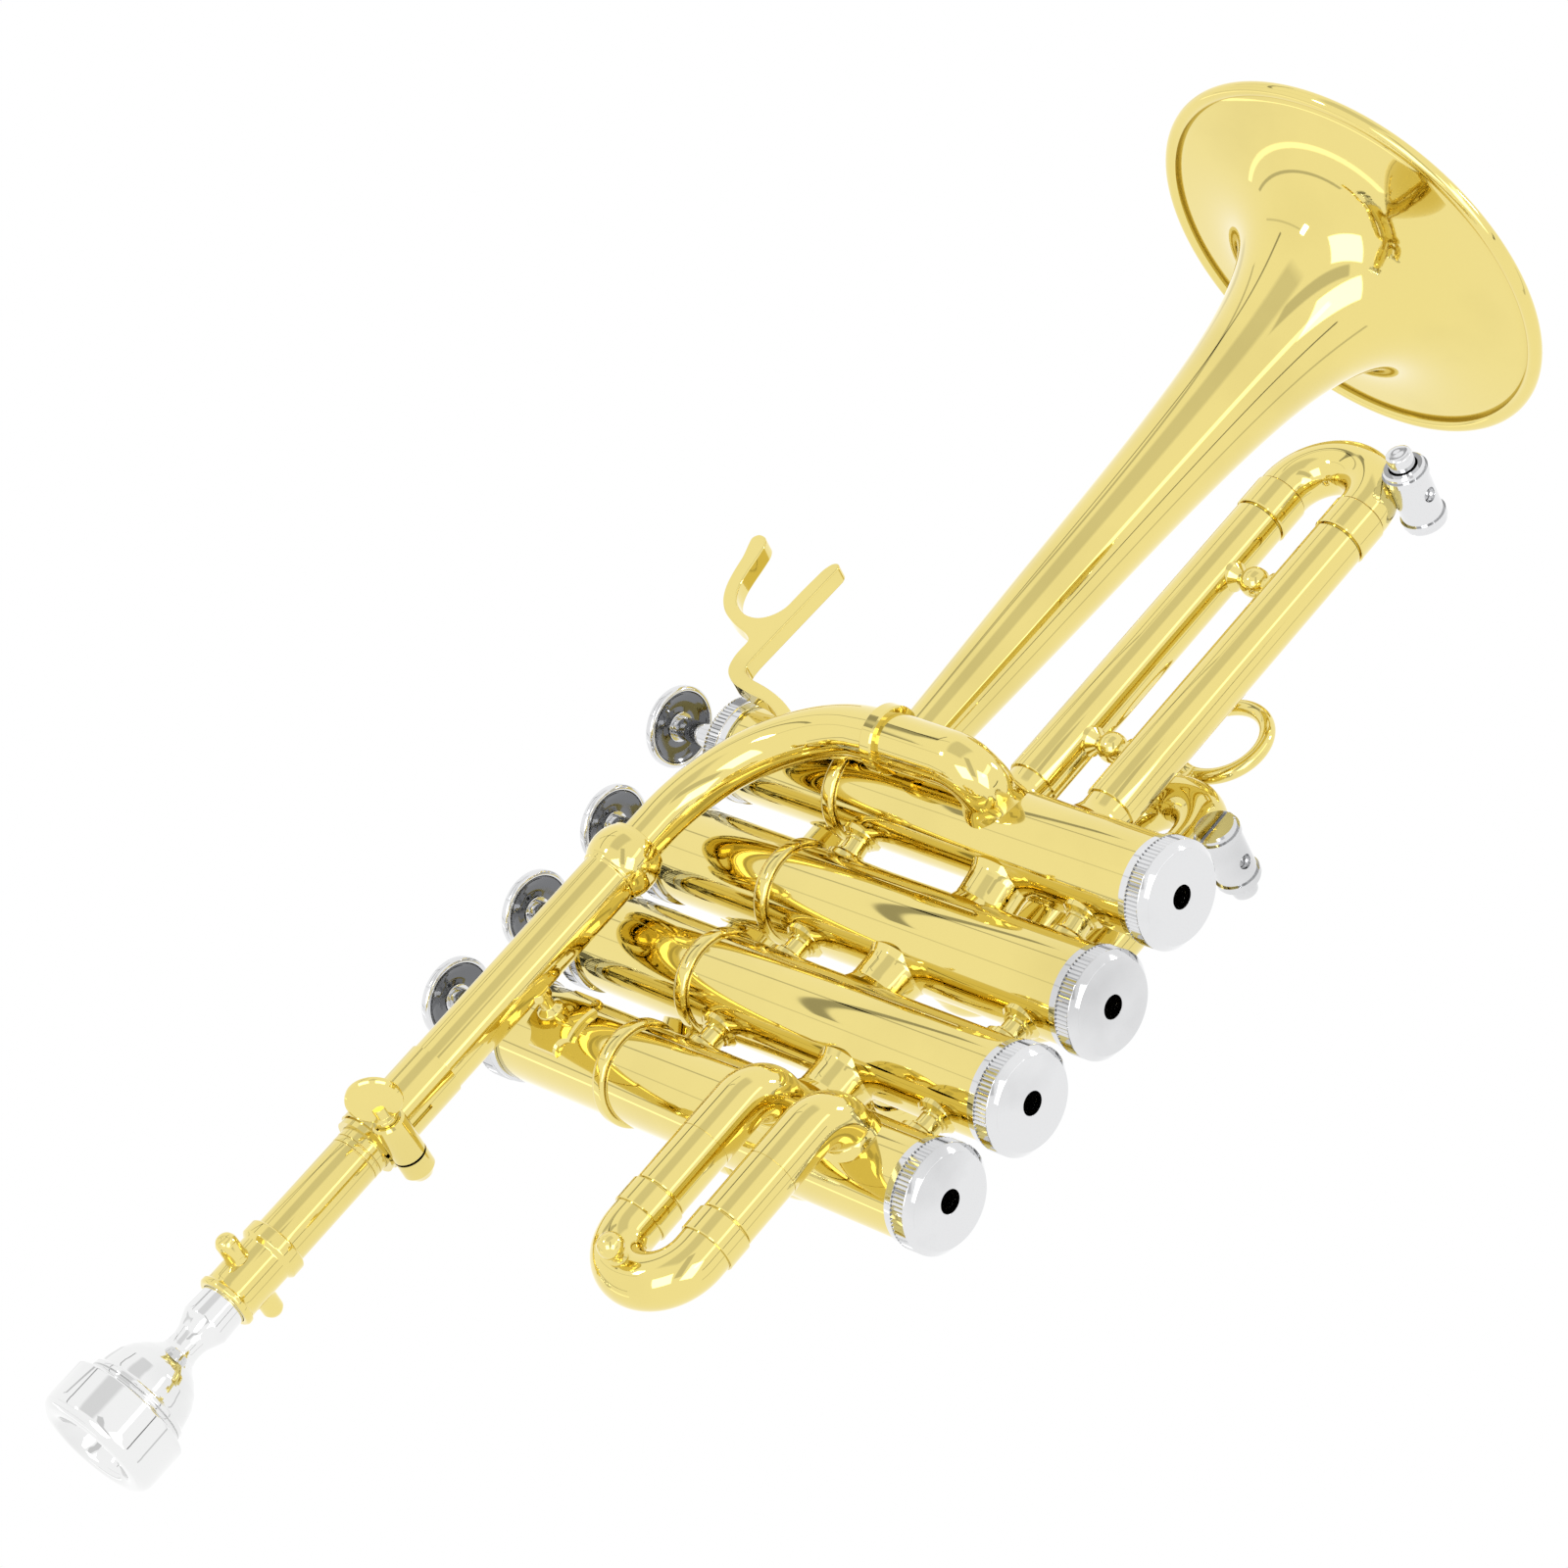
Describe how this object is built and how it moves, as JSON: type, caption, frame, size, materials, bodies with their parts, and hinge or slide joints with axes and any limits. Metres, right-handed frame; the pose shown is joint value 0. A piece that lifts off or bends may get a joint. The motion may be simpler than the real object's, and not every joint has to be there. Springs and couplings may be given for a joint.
{
  "type": "piccolo trumpet",
  "caption": "Four-valve piccolo trumpet with sprung pistons, pull slides, side water keys, a clamped mouthpipe and a removable mouthpiece.",
  "frame": {"origin": "centre of the first valve's bottom cap, on the plane that the four caps rest on", "axes": "+X from the mouthpiece to the bell, +Y to the player's left, +Z from the bottom caps to the finger buttons"},
  "size_m": [0.3952, 0.1089, 0.1602],
  "materials": {
    "lacquered_brass": "polished brass under clear lacquer",
    "nickel_plate": "bright nickel plating",
    "silver_plate": "polished silver plating",
    "piston_metal": "lapped nickel alloy",
    "spring_steel": "plain steel",
    "felt": "pressed felt"
  },
  "bodies": {
    "instrument": {"bell": "lacquered_brass", "bell_crook": "lacquered_brass", "bell_elbow": "lacquered_brass", "bottom_cap_1": "nickel_plate", "bottom_cap_2": "nickel_plate", "bottom_cap_3": "nickel_plate", "bottom_cap_4": "nickel_plate", "casing_spools": "lacquered_brass", "clamp_collar": "lacquered_brass", "finger_hook": "lacquered_brass", "first_slide_tubes": "lacquered_brass", "fourth_slide_braces": "lacquered_brass", "fourth_slide_tubes": "lacquered_brass", "mouthpipe": "lacquered_brass", "mouthpipe_crook": "lacquered_brass", "mouthpipe_elbow": "lacquered_brass", "mouthpipe_sleeve": "lacquered_brass", "second_slide_tubes": "lacquered_brass", "third_slide_tubes": "lacquered_brass", "top_cap_1": "nickel_plate", "top_cap_2": "nickel_plate", "top_cap_3": "nickel_plate", "top_cap_4": "nickel_plate", "tube_braces": "lacquered_brass", "valve_casing_1": "lacquered_brass", "valve_casing_2": "lacquered_brass", "valve_casing_3": "lacquered_brass", "valve_casing_4": "lacquered_brass", "valve_felts": "felt", "valve_guides": "piston_metal", "valve_knuckles": "lacquered_brass", "valve_spring_1": "spring_steel", "valve_spring_2": "spring_steel", "valve_spring_3": "spring_steel", "valve_spring_4": "spring_steel"},
    "mouthpipe_pull": {"mouthpipe_shank": "lacquered_brass", "mouthpiece_receiver": "lacquered_brass"},
    "mouthpiece": {"mouthpiece": "silver_plate"},
    "clamp_screw": {"clamp_screw": "lacquered_brass"},
    "first_slide": {"first_slide": "lacquered_brass"},
    "second_slide": {"second_slide": "lacquered_brass"},
    "third_slide": {"third_slide": "lacquered_brass", "finger_ring": "lacquered_brass", "water_key_2": "nickel_plate"},
    "fourth_slide": {"fourth_slide": "lacquered_brass", "water_key_1": "nickel_plate"},
    "water_key_1_plunger": {"water_key_plunger_1": "nickel_plate"},
    "water_key_2_plunger": {"water_key_plunger_2": "nickel_plate"},
    "valve_1": {"piston_1": "piston_metal", "valve_stem_1": "nickel_plate", "finger_button_1": "nickel_plate"},
    "valve_2": {"piston_2": "piston_metal", "valve_stem_2": "nickel_plate", "finger_button_2": "nickel_plate"},
    "valve_3": {"piston_3": "piston_metal", "valve_stem_3": "nickel_plate", "finger_button_3": "nickel_plate"},
    "valve_4": {"piston_4": "piston_metal", "valve_stem_4": "nickel_plate", "finger_button_4": "nickel_plate"}
  },
  "joints": [
    {"name": "valve_1_press", "type": "slide", "parent": "instrument", "child": "valve_1", "axis": [0, 0, -1], "range_m": [0, 0.0136], "stiffness_N_per_m": 120, "springref_m": -0.02, "deforming": ["valve_spring_1"]},
    {"name": "valve_2_press", "type": "slide", "parent": "instrument", "child": "valve_2", "axis": [0, 0, -1], "range_m": [0, 0.0136], "stiffness_N_per_m": 120, "springref_m": -0.02, "deforming": ["valve_spring_2"]},
    {"name": "valve_3_press", "type": "slide", "parent": "instrument", "child": "valve_3", "axis": [0, 0, -1], "range_m": [0, 0.0136], "stiffness_N_per_m": 120, "springref_m": -0.02, "deforming": ["valve_spring_3"]},
    {"name": "valve_4_press", "type": "slide", "parent": "instrument", "child": "valve_4", "axis": [0, 0, -1], "range_m": [0, 0.0136], "stiffness_N_per_m": 120, "springref_m": -0.02, "deforming": ["valve_spring_4"]},
    {"name": "first_slide_pull", "type": "slide", "parent": "instrument", "child": "first_slide", "axis": [-1, 0, 0], "range_m": [0, 0.01]},
    {"name": "second_slide_pull", "type": "slide", "parent": "instrument", "child": "second_slide", "axis": [0, 1, 0], "range_m": [0, 0.0025]},
    {"name": "third_slide_pull", "type": "slide", "parent": "instrument", "child": "third_slide", "axis": [1, 0, 0], "range_m": [0, 0.016]},
    {"name": "fourth_slide_pull", "type": "slide", "parent": "instrument", "child": "fourth_slide", "axis": [1, 0, 0], "range_m": [0, 0.03]},
    {"name": "mouthpipe_pull", "type": "slide", "parent": "instrument", "child": "mouthpipe_pull", "axis": [-1, 0, 0], "range_m": [0, 0.012]},
    {"name": "mouthpiece_pull", "type": "slide", "parent": "mouthpipe_pull", "child": "mouthpiece", "axis": [-1, 0, 0], "range_m": [0, 0.03]},
    {"name": "clamp_screw_turn", "type": "hinge", "parent": "instrument", "child": "clamp_screw", "pos_m": [-0.0436, 0, 0.1036], "axis": [0, 1, 0], "range_deg": [-180, 180]},
    {"name": "water_key_1_press", "type": "slide", "parent": "fourth_slide", "child": "water_key_1_plunger", "axis": [0, 1, 0], "range_m": [0, 0.0024], "stiffness_N_per_m": 250, "springref_m": -0.004},
    {"name": "water_key_2_press", "type": "slide", "parent": "third_slide", "child": "water_key_2_plunger", "axis": [0, -1, 0], "range_m": [0, 0.0024], "stiffness_N_per_m": 250, "springref_m": -0.004}
  ]
}
